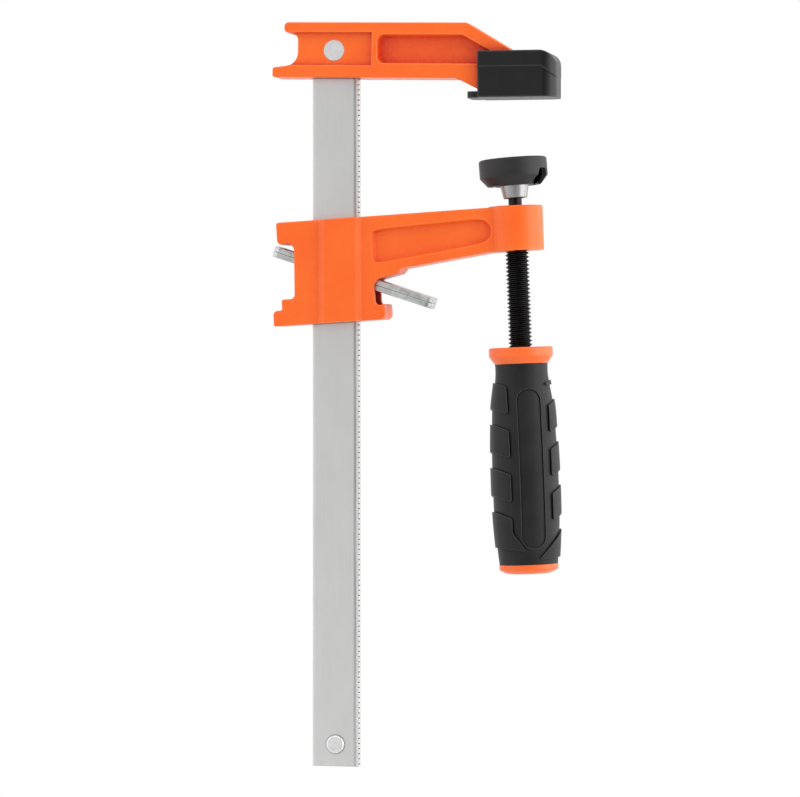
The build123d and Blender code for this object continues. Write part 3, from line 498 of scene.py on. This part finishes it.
upright = [e for e in bar_mesh.edges if abs(e.verts[0].co.z - e.verts[1].co.z) > MM]
bmesh.ops.subdivide_edges(bar_mesh, edges=upright, cuts=BAR_STEPS - 1, use_grid_fill=True)
for point in bar_mesh.verts:
    on_edge = point.co.x - BAR_CENTRE > BAR_HALF - EDGE_BAND
    step = round((point.co.z - bar_low.z) / (BAR_LENGTH / BAR_STEPS))
    if on_edge and step % STEPS_PER_NOTCH == STEPS_PER_NOTCH // 2:
        point.co.x -= NOTCH_DEPTH
bmesh.ops.recalc_face_normals(bar_mesh, faces=bar_mesh.faces)
print("bar has", NOTCHES, "notches on its front edge")


# %% Hand the bar over
def finished_object(name, mesh):
    """Turns a bmesh into an object, and frees it."""
    data = bpy.data.meshes.new(name)
    mesh.to_mesh(data)
    mesh.free()
    return add_object(name, data)


bar_piece = finished_object("bar_serrated", bar_mesh)
dress(bar_piece, "frame", "bar_steel", bar_steel, "bar", crease=FLAT_CREASE)

# %% [markdown]
# ## The screw and its thread
# A thread is one tooth wound round the axis. The Spin operator does that directly: it turns a small
# profile about the axis and lifts it a little at every step, so that one turn climbs one pitch. The
# windings share their edges, and merging doubles joins them into one closed skin.

# %% Wind the thread
PITCH = 1.5875 * MM
CREST = 4.75 * MM
ROOT = 3.85 * MM
TOOTH = ((ROOT, 0.06), (CREST, 0.44), (CREST, 0.56), (ROOT, 0.94), (ROOT, 1.06))
THREAD_LOW = -41.6 * MM
THREAD_HIGH = 14.8 * MM
STEPS = 36
TURNS = 38
TOUCHING = 0.01 * MM
UP = Vector((0, 0, 1))

screw_mesh = bmesh.new()
start = THREAD_LOW - PITCH
points = [screw_mesh.verts.new((radius, 0, start + PITCH * share)) for radius, share in TOOTH]
lines = [screw_mesh.edges.new(pair) for pair in zip(points, points[1:])]
bmesh.ops.spin(
    screw_mesh, geom=points + lines, cent=(0, 0, 0), axis=UP, dvec=UP * PITCH / STEPS,
    angle=2 * math.pi * TURNS, steps=STEPS * TURNS, use_merge=False,
)
bmesh.ops.remove_doubles(screw_mesh, verts=screw_mesh.verts, dist=TOUCHING)
print("thread points:", len(screw_mesh.verts))

# %% Trim both ends, close them and chamfer the top
END_CHAMFER = 0.9 * MM

for height, keep_above in ((THREAD_LOW, True), (THREAD_HIGH, False)):
    everything = screw_mesh.verts[:] + screw_mesh.edges[:] + screw_mesh.faces[:]
    bmesh.ops.bisect_plane(
        screw_mesh, geom=everything, plane_co=UP * height, plane_no=UP,
        clear_inner=keep_above, clear_outer=not keep_above,
    )
    open_edges = [edge for edge in screw_mesh.edges if edge.is_boundary]
    rim = [edge for edge in open_edges if abs(edge.verts[0].co.z - height) < TOUCHING]
    bmesh.ops.edgeloop_fill(screw_mesh, edges=rim)
for point in screw_mesh.verts:
    over = point.co.z - (THREAD_HIGH - END_CHAMFER)
    radius = point.co.xy.length
    if over > 0 and radius > CREST - over:
        point.co.xy *= (CREST - over) / radius
print("the thread is", round((THREAD_HIGH - THREAD_LOW) / MM, 1), "mm long")

# %% Neck and tang
NECK = (2.7 * MM, 13.0 * MM, 25.4 * MM)
TANG = (4.2 * MM, -80.5 * MM, THREAD_LOW + MM)
ROD_SIDES = 48

for radius, low, high in (NECK, TANG):
    bmesh.ops.create_cone(
        screw_mesh, cap_ends=True, segments=ROD_SIDES, radius1=radius, radius2=radius,
        depth=high - low, matrix=Matrix.Translation(UP * (low + high) / 2),
    )
print("the screw runs from", round(TANG[1] / MM, 1), "to", round(NECK[2] / MM, 1), "mm")

# %% Stand the screw on its own axis
screw_turn = joints["screw_turn"]
screw_axis = Vector(screw_turn["axis"]).normalized()
lean = UP.rotation_difference(screw_axis).to_matrix().to_4x4()
standing = Matrix.Translation(screw_turn["pos_m"]) @ lean
bmesh.ops.transform(screw_mesh, matrix=standing, verts=screw_mesh.verts)
bmesh.ops.recalc_face_normals(screw_mesh, faces=screw_mesh.faces)
screw_piece = finished_object("spindle_threaded", screw_mesh)
dress(screw_piece, "screw", "screw_steel", black_steel, "spindle")

# %% [markdown]
# ## Floor
# The clamp hangs in plain white. The floor lies well below it, so that the handle stays above it
# at every pose. Close under the clamp the floor is ordinary paper with a trace of glow for the eye,
# which keeps the clamp's soft shadow. Further out it is plain white for the camera, reflections and
# transmission, and only what lights the clamp is ordinary paper.

# %% Paper, and what rays see of it
SHADOW_REACH = (0.25, 0.7)
EYE_GLOW = 0.02


def white_for_eyes(material):
    """1 for camera rays, reflections and transmission, else 0."""
    rays = material.node_tree.nodes.new("ShaderNodeLightPath").outputs
    either = combined(material, "MAXIMUM", rays["Is Camera Ray"], rays["Is Glossy Ray"])
    return combined(material, "MAXIMUM", either, rays["Is Transmission Ray"])


def far_away(material):
    """0 close under the clamp, and 1 far out."""
    place = material.node_tree.nodes.new("ShaderNodeTexCoord")
    distance = material.node_tree.nodes.new("ShaderNodeVectorMath")
    distance.operation = "LENGTH"
    join(material, place.outputs["Object"], distance.inputs[0])
    return graded(material, distance.outputs["Value"], 0.0, 1.0, *SHADOW_REACH)


# %% Paper that turns to plain white further out
paper = finish("white_paper", (0.78, 0.78, 0.78), 0.9, gloss=0.0)
feed(paper, "Normal", relief(paper, noise(paper, 2.0), 0.02))
seen = white_for_eyes(paper)

glow = paper.node_tree.nodes.new("ShaderNodeEmission")
join(paper, graded(paper, seen, 0.0, EYE_GLOW, 0.0, 1.0), glow.inputs["Strength"])
near_floor = paper.node_tree.nodes.new("ShaderNodeAddShader")
join(paper, shader_of(paper).outputs["BSDF"], near_floor.inputs[0])
join(paper, glow.outputs["Emission"], near_floor.inputs[1])

plain_white = paper.node_tree.nodes.new("ShaderNodeEmission")
plain_white.inputs["Strength"].default_value = 1.0
both = paper.node_tree.nodes.new("ShaderNodeMixShader")
join(paper, combined(paper, "MULTIPLY", far_away(paper), seen), both.inputs["Fac"])
join(paper, near_floor.outputs["Shader"], both.inputs[1])
join(paper, plain_white.outputs["Emission"], both.inputs[2])
join(paper, both.outputs["Shader"], paper.node_tree.nodes["Material Output"].inputs["Surface"])

# %% The floor itself
FLOOR_LEVEL = -0.46
FLOOR_HALF = 1.3

floor_mesh = bmesh.new()
bmesh.ops.create_grid(floor_mesh, x_segments=1, y_segments=1, size=FLOOR_HALF)
floor = finished_object("floor", floor_mesh)
floor.location.z = FLOOR_LEVEL
floor.data.materials.append(paper)
print("floor is", round((bar_low.z - FLOOR_LEVEL) / MM), "mm below the bar's end")

# %% [markdown]
# ## Light
# A picture like this one is lit mainly from the right. One tall soft box stands beside the clamp
# and puts a pale band on the right of every round surface. A second one, further back, carries that
# band on to the rim. A weak box on the left and a smaller one above fill the rest.

# %% Soft boxes
CLAMP_MIDDLE = Vector((-0.03, 0.0, -0.1))


def soft_box(name, azimuth, height, width, tall, glow, distance=1.1):
    """A soft box at an angle from the front, positive to the right. Glow is its radiance."""
    data = bpy.data.lights.new(name, "AREA")
    data.shape = "RECTANGLE"
    data.size = width
    data.size_y = tall
    data.energy = glow * math.pi * width * tall
    lamp = add_object(name, data)
    turn = math.radians(azimuth)
    lamp.location = (distance * math.sin(turn), -distance * math.cos(turn), height)
    aim = CLAMP_MIDDLE - lamp.location
    lamp.rotation_euler = aim.to_track_quat("-Z", "Y").to_euler()
    print(name, "gives", round(data.energy, 2), "W")


soft_box("right_box", azimuth=82.0, height=0.0, width=0.9, tall=1.5, glow=2.1)
soft_box("rim_box", azimuth=124.0, height=0.0, width=0.6, tall=1.5, glow=1.3)
soft_box("left_box", azimuth=-70.0, height=0.0, width=1.0, tall=1.5, glow=0.5)
soft_box("top_box", azimuth=0.0, height=1.0, width=1.2, tall=0.6, glow=1.2, distance=0.35)

# %% [markdown]
# ## White surround with a dark side
# The room is white all round, but where the photographer stands it is dark. That is what keeps the
# enamel's colour strong and the plastics black where they face the camera. So the world has three
# levels: plain white for the camera, the white room with its dark side for reflections, and a level
# a little under white for the light that falls on the clamp.

# %% What reflections see
CAMERA_YAW = math.radians(11.576)
PHOTOGRAPHER = (math.sin(CAMERA_YAW), -math.cos(CAMERA_YAW), 0.0)
DARK_SIDE = (0.87, 0.985)
DARK_LEVEL = 0.12

world = bpy.data.worlds.new("white_surround")
bpy.context.scene.world = world
world.use_nodes = True
world_nodes = world.node_tree.nodes
direction = world_nodes.new("ShaderNodeTexCoord")
facing = world_nodes.new("ShaderNodeVectorMath")
facing.operation = "DOT_PRODUCT"
facing.inputs[1].default_value = PHOTOGRAPHER
join(world, direction.outputs["Generated"], facing.inputs[0])
reflected = graded(world, facing.outputs["Value"], 1.0, DARK_LEVEL, *DARK_SIDE)
reflected.node.interpolation_type = "SMOOTHSTEP"
print("dark side:", round(math.degrees(math.acos(DARK_SIDE[0]))), "degrees round the photographer")

# %% One level for each kind of ray
LIGHT_LEVEL = 0.87
WHITE = 1.0

rays = world_nodes.new("ShaderNodeLightPath").outputs
for_light = world_nodes.new("ShaderNodeMix")
for_light.inputs["A"].default_value = LIGHT_LEVEL
join(world, rays["Is Glossy Ray"], for_light.inputs["Factor"])
join(world, reflected, for_light.inputs["B"])
for_all = world_nodes.new("ShaderNodeMix")
for_all.inputs["B"].default_value = WHITE
join(world, rays["Is Camera Ray"], for_all.inputs["Factor"])
join(world, for_light.outputs["Result"], for_all.inputs["A"])
surround = world_nodes["Background"]
surround.inputs["Color"].default_value = (1, 1, 1, 1)
join(world, for_all.outputs["Result"], surround.inputs["Strength"])
print("world lights the clamp at", LIGHT_LEVEL)

# %% [markdown]
# ## Camera
# The picture was taken from far away with a long lens, level with the middle of the handle's collar
# and between eleven and twelve degrees to the right of the bar's front. The frame is shifted down
# instead of tilting the camera, so uprights stay parallel.

# %% Long lens from the right
DISTANCE = 1500.0
PIXELS_PER_MM = 2.48
EYE_LEVEL = -100.46
AIM_ACROSS = 25.504
SENSOR_WIDTH = 36.0
PICTURE_WIDTH = 800
EYE_ROW = 350.0
MIDDLE_ROW = 398.5
CLIP_END = 20.0

camera_data = bpy.data.cameras.new("camera")
camera = add_object("camera", camera_data)
across = Vector((math.cos(CAMERA_YAW), math.sin(CAMERA_YAW), 0))
towards = Vector((-math.sin(CAMERA_YAW), math.cos(CAMERA_YAW), 0))
bar_line = Vector((BAR_CENTRE / MM, 0, EYE_LEVEL))
camera.location = (bar_line + across * AIM_ACROSS - towards * DISTANCE) * MM
camera.rotation_euler = (math.radians(90), 0, CAMERA_YAW)
camera_data.sensor_width = SENSOR_WIDTH
camera_data.lens = PIXELS_PER_MM * DISTANCE * SENSOR_WIDTH / PICTURE_WIDTH
camera_data.shift_y = (EYE_ROW - MIDDLE_ROW) / PICTURE_WIDTH
camera_data.clip_end = CLIP_END
bpy.context.scene.camera = camera
bpy.context.scene.view_settings.view_transform = "Standard"
print("lens:", round(camera_data.lens, 1), "mm")
